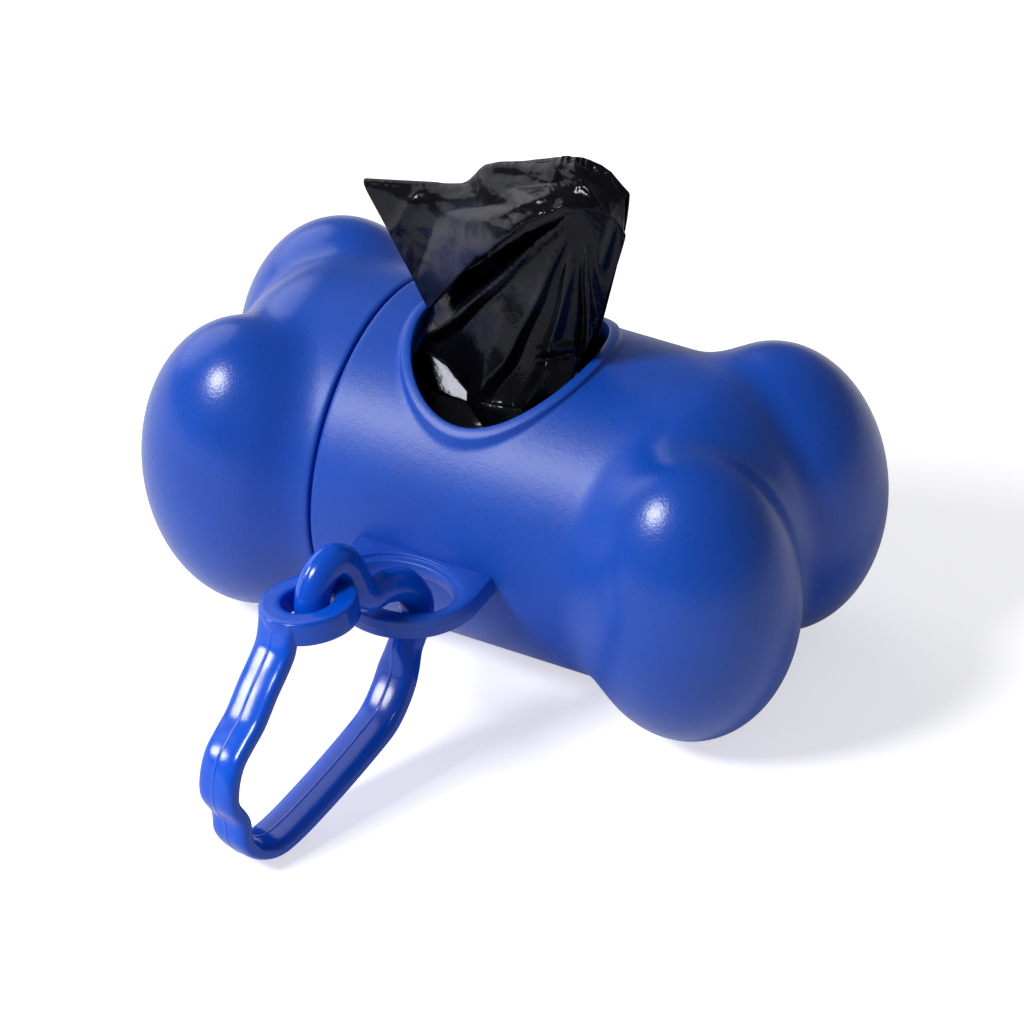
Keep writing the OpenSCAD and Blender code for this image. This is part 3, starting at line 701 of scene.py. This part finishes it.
def bag_levels(u):
    """The curves across the bag, from the front of the roll up through the window, forward to a fold, back up over the
    flap to the torn edge, and down behind to the roll. Each is set from the photo."""
    front0 = on_roll(u, -7.6, 9.4, np.interp(u, [-0.3, 0.1], [-9.6, -11.0]), 0.35)
    front1 = on_roll(u, -8.4, 9.7, np.interp(u, [-0.3, 0.1, 0.7, 1], [-6.6, -8.8, -8.8, -7.0]), 0.25)
    ramp = over(u, [(-1, -9.1, -3.1, 16.9), (-0.65, -5.9, -3.7, 16.1), (-0.3, -2.6, -5.3, 14.9),
                    (-0.05, -0.3, -7.2, 15.6), (0.3, 3.0, -7.3, 16.2), (0.6, 5.9, -6.4, 16.0), (1, 9.9, -3.8, 17.2)])
    front2 = over(u, [(-1, -9.5, -2.5, 19.0), (-0.5, -4.4, -3.4, 19.4), (0, 0.6, -5.4, 20.4), (0.5, 5.4, -5.2, 20.2),
                      (1, 10.1, -2.6, 19.6)])
    front3 = over(u, [(-1, -9.7, -1.8, 21.2), (-0.5, -5.0, -2.4, 24.0), (0, 1.8, -3.4, 27.5), (0.5, 7.2, -3.0, 28.5),
                      (1, 12.2, -1.0, 26.6)])
    under = over(u, [(-1, -9.9, -1.0, 24.0), (-0.5, -3.7, -1.2, 32.1), (-0.1, 1.0, -1.2, 36.8),
                     (0.25, 4.7, -1.2, 40.4), (0.65, 9.5, -1.2, 43.0), (0.9, 14.4, -0.8, 41.7), (1, 15.4, -0.4, 37.6)])
    lip = over(u, [(-1, -8.6, -3.0, 22.9), (-0.75, -4.9, -4.5, 28.2), (-0.5, -0.6, -6.5, 34.4), (-0.3, 2.4, -7.5, 37.5),
                   (-0.1, 4.9, -8.0, 40.1), (0.1, 6.8, -8.0, 42.2), (0.25, 8.2, -7.5, 43.5), (0.45, 10.0, -6.5, 44.4),
                   (0.65, 11.9, -5.5, 44.9), (0.8, 13.9, -4.0, 44.1), (0.9, 15.3, -2.5, 42.8), (1, 15.9, -1.0, 40.0)])
    top = over(u, [(-1, -18.0, -0.5, 35.8), (-0.75, -12.8, -0.5, 37.2), (-0.5, -7.9, -0.5, 38.5),
                   (-0.34, -4.2, -0.5, 40.0), (-0.26, -3.0, 0, 42.3), (-0.1, -0.5, 0, 43.6), (0.1, 2.3, 0, 44.5),
                   (0.3, 5.2, 0, 45.7), (0.5, 7.8, 0, 46.7), (0.7, 10.2, 0, 47.3), (0.85, 13.0, 0, 46.9),
                   (1, 15.7, 0, 44.4)])
    # between fold and torn edge the flap swells towards the viewer
    swell = to_viewer * (1 - np.abs(u) ** 4)[:, None]
    flap1, flap2 = lip + (top - lip) * 0.33 + swell, lip + (top - lip) * 0.68 + swell * 0.8
    left = rise(u, -0.35, -0.2)[:, None]
    behind = top + left * [0, 1.3, -0.4] + (1 - left) * [0, 1.0, -0.95]
    back1 = over(u, [(-1, -15.4, 1.2, 30.5), (0, 0.3, 3.4, 36.0), (1, 15.2, 1.2, 38.0)])
    back2 = over(u, [(-1, -12.0, 1.6, 24.0), (0, 0.3, 3.6, 26.0), (1, 12.6, 1.6, 27.0)])
    back3 = over(u, [(-1, -9.9, 2.4, 20.6), (0, 0.3, 3.6, 20.8), (1, 10.3, 2.4, 20.6)])
    back4 = on_roll(u, -9.2, 9.4, 3.4, 0.3)
    # front and back come together at the sides
    for level in (front3, under, back1, back2):
        level[:, 1] *= 1 - 0.85 * np.abs(u) ** 8
    # the ramp's left half lies in one plane, which mirrors the key light to the photo's viewpoint
    flat, slope = u < -0.3, 0.972
    ramp[flat, 2] = front1[flat, 2] + slope * (ramp[flat, 1] - front1[flat, 1])
    ease = (ramp - front1) * 0.14
    return [front0, front1, front1 + ease, ramp - ease, ramp, front2, front3, under, lip, flap1, flap2, top, behind,
            back1, back2, back3, back4]


def bag_patches():
    """The pulled-out bag, one sheet: lofted between its levels, then creased towards the viewer in front and away
    from the viewer behind, with a ragged torn edge."""
    u = np.linspace(-1, 1, 240)
    rows = loft(bag_levels(u), steps)
    # v counts levels along the sheet: 4 is the ramp, 8 the fold (lip), 11 the torn edge and 16 the end behind
    v = np.concatenate([level + np.arange(n) / n for level, n in enumerate(steps)] + [[float(len(steps))]])[:, None]
    a = rows[..., 0] + across_share * rows[..., 1]
    b = rows[..., 2] + up_share * rows[..., 1]
    uu = np.broadcast_to(u[None], a.shape)
    # front: bent rays, small crumples and single folds
    far = np.hypot(b - ray_from[1], a - ray_from[0])
    ray = np.degrees(np.arctan2(b - ray_from[1], a - ray_from[0]))
    ray = ray + 1.0 * np.sin(0.2 * far + 0.4) + 0.4 * np.sin(0.6 * far + 0.1 * a)
    front = 1.15 * np.interp(ray, *zip(*ray_folds)) * np.clip((far - 7) / 16, 0, 1.05)
    front = front + 0.16 * crumple(a, b, 7.5, 4) + folds(a, b, front_folds)
    on_front = rise(v, 3.0, 1.2) * rise(v, 7.6, -0.8)
    smooth_left = 1 - rise(b, 16.4, -1.5) * rise(a, -4.0, -1.5)
    # flap: a soft swelling at the left, a long hollow under the torn edge, crumples and single folds
    dome = 1.5 * np.exp(-(((a + 4.6) / 5.4) ** 2 + ((b - 33.4) / 4.4) ** 2) ** 1.6)
    hollow = 0.7 * np.exp(-(((a - 2.0) / 4.5) ** 2 + ((b - 42.6) / 1.4) ** 2))
    flap = dome - hollow + folds(a, b, flap_folds)
    flap = flap + 0.30 * crumple(a, b, 4.0, 11) * (0.5 + 0.9 * rise(a, 1, 6)) + 0.10 * crumple(a, b, 1.6, 5)
    on_flap = rise(v, 7.6, 0.5) * rise(v, 11.0, -0.6)
    rows = rows + to_viewer * (front * on_front * smooth_left + flap * on_flap)[..., None]
    # torn edge: ragged from the flap's middle to the right, finely nicked at the left
    torn = rise(uu, -0.36, 0.1)
    wilder = rise(uu, 0.4, 0.15)
    rng = np.random.default_rng(7)

    def jagged(pieces):
        """Random heights from -1 to 1 at even places across, joined by straight lines."""
        return np.interp(uu, np.linspace(-1, 1, pieces + 1), rng.uniform(-1, 1, pieces + 1))

    rag = torn * (0.5 * jagged(36) + 0.25 * jagged(90) - 0.1) * (0.12 + 0.88 * wilder)
    rag = rag + (1 - torn) * 0.04 * jagged(90)
    at_top = np.clip(1.2 - np.abs(v - 11.1) / 0.5, 0, 1)
    rows[..., 2] += rag * at_top
    rows[..., 1] += torn * 0.3 * jagged(50) * (0.2 + 0.8 * wilder) * at_top
    # back: even folds from top to bottom, with crumples over them
    back = 0.55 * tri(3.4 * uu + 0.03 * (b - 30)) + 0.35 * crumple(a * 1.1, b, 5.0, 8) + 0.12 * crumple(a, b, 1.8, 9)
    rows[..., 1] += back * rise(v, 12.0, 0.6) * rise(v, 15.2, -1.2) * (1 - np.abs(uu) ** 6)
    # the fold's edge is not straight either
    at_lip = np.clip(1 - np.abs(v - 8.0) / 0.9, 0, 1) * np.clip((0.75 - np.abs(uu)) / 0.2, 0, 1)
    rows[..., 2] += (0.35 * jagged(18) + 0.2 * jagged(40)) * at_lip
    return [sheet_net(rows)]


bag = piece("bag_sheet", bag_patches(), "lead", black, closed=False)
solid = bag.modifiers.new("film", "SOLIDIFY")
solid.thickness = 0.12 * mm
solid.offset = 0
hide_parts("bag_lead")

# ---- floor, light, camera ----
def floor_under(low):
    """A square floor at height low, in matt white card, whose white is kept by a lift that only the camera sees in
    full and mirror-like rays see a tenth of."""
    half, lift, mirrored = 3.0, 0.62, 0.1
    mesh = bpy.data.meshes.new("floor")
    corners = [(-half, -half, low), (half, -half, low), (half, half, low), (-half, half, low)]
    mesh.from_pydata(corners, [], [(0, 1, 2, 3)])
    floor = bpy.data.objects.new("floor", mesh)
    bpy.context.scene.collection.objects.link(floor)
    card = bpy.data.materials.new("matt_white_card")
    card.use_nodes = True
    tree = card.node_tree
    path = node(tree, "LightPath", {})
    glossy = node(tree, "Math", {0: path.outputs["Is Glossy Ray"], 1: mirrored}, operation="MULTIPLY")
    seen = node(tree, "Math", {0: path.outputs["Is Camera Ray"], 1: glossy.outputs[0]}, operation="MAXIMUM")
    glow = node(tree, "Math", {0: seen.outputs[0], 1: lift}, operation="MULTIPLY")
    node(tree, SHADER, {"Base Color": colour("#EDEDF0"), "Roughness": 0.8, "Specular IOR Level": 0.1,
                        "Emission Color": colour("#FDFDFF"), "Emission Strength": glow.outputs[0]})
    mesh.materials.append(card)


def lamp(name, place, size, watts):
    """A round lamp at a place in metres, aimed at the object's middle."""
    data = bpy.data.lights.new(name, "AREA")
    data.shape = "DISK"
    data.size = size
    data.energy = watts
    lit_from = bpy.data.objects.new(name, data)
    bpy.context.scene.collection.objects.link(lit_from)
    lit_from.location = place
    lit_from.rotation_euler = (-Vector(place)).to_track_quat("-Z", "Y").to_euler()
    return lit_from


def photo_camera():
    """The photograph's viewpoint, from the fitted outlines: where it looks from, how it is tipped, and its focal
    length and middle in the photo's pixels."""
    azimuth, elevation, tip = (math.radians(v) for v in (29.659, 37.175, -2.001))
    distance, photo_width, focal_px, middle_px, sensor = 693.986 * mm, 1024, 5914.958, (512.943, 473.294), 36.0
    back = np.array([math.sin(azimuth) * math.cos(elevation), -math.cos(azimuth) * math.cos(elevation),
                     math.sin(elevation)])
    right = np.array([math.cos(azimuth), math.sin(azimuth), 0.0])
    up = np.cross(back, right)
    axes = [math.cos(tip) * right + math.sin(tip) * up, -math.sin(tip) * right + math.cos(tip) * up, back,
            back * distance]
    data = bpy.data.cameras.new("photo_view")
    data.sensor_width = sensor
    data.lens = focal_px * sensor / photo_width
    data.shift_x = -(middle_px[0] - photo_width / 2) / photo_width
    data.shift_y = (middle_px[1] - photo_width / 2) / photo_width
    data.clip_start = 0.01
    camera = bpy.data.objects.new("photo_view", data)
    bpy.context.scene.collection.objects.link(camera)
    camera.matrix_world = Matrix([[axis[k] for axis in axes] for k in range(3)] + [[0, 0, 0, 1]])
    bpy.context.scene.camera = camera


floor_under(-tube_r * mm)
world = bpy.data.worlds.new("studio")
bpy.context.scene.world = world
world.use_nodes = True
world.node_tree.nodes["Background"].inputs["Color"].default_value = (1, 1, 1, 1)
world.node_tree.nodes["Background"].inputs["Strength"].default_value = 0.19
lamp("key", (-0.40, -0.54, 0.665), 0.28, 7.0)
lamp("left", (-0.86, 0.34, 0.46), 0.95, 3.0)
# a small strip that lights the clip alone, as a flagged studio lamp would
strip = lamp("strip", (-0.95, -0.30, 0.24), 0.24, 3.4)
lit = bpy.data.collections.new("lit_by_strip")
lit.objects.link(clip)
strip.light_linking.receiver_collection = lit


photo_camera()
bpy.context.scene.view_settings.view_transform = "Standard"
